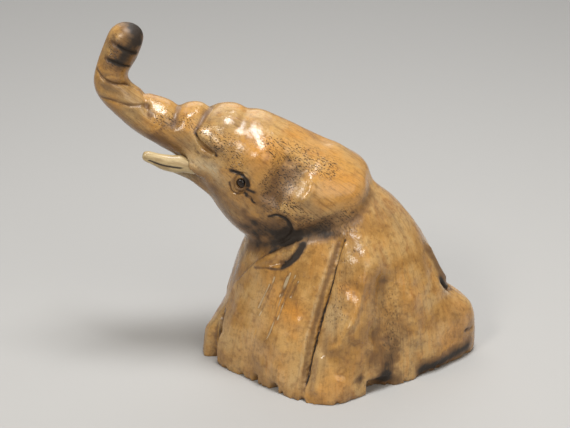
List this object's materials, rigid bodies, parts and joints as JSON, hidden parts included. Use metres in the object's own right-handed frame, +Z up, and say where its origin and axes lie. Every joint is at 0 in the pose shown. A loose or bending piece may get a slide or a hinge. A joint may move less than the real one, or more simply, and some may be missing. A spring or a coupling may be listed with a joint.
{
  "type": "carved wooden elephant",
  "caption": "Varnished root-wood carving of an elephant's head with a raised curled trunk, growing out of a flared root foot, with inset pale tusks and dark bead eyes.",
  "frame": {"origin": "on the sawn flat underside, in the elephant's middle plane, under the back of the head's lower edge and about 4 mm in front of the middle of the overall length", "axes": "+Z up; the elephant faces -X and its left side faces -Y; +X towards the tail root"},
  "size_m": [0.267, 0.1707, 0.2414],
  "materials": {
    "root_wood": "gloss varnish over brown root wood",
    "tusk": "pale wood, satin varnish",
    "eye": "polished black bead"
  },
  "bodies": {
    "root": {"carved_block": "root_wood", "left_tusk": "tusk", "right_tusk": "tusk", "left_eye": "eye", "right_eye": "eye"}
  },
  "joints": []
}
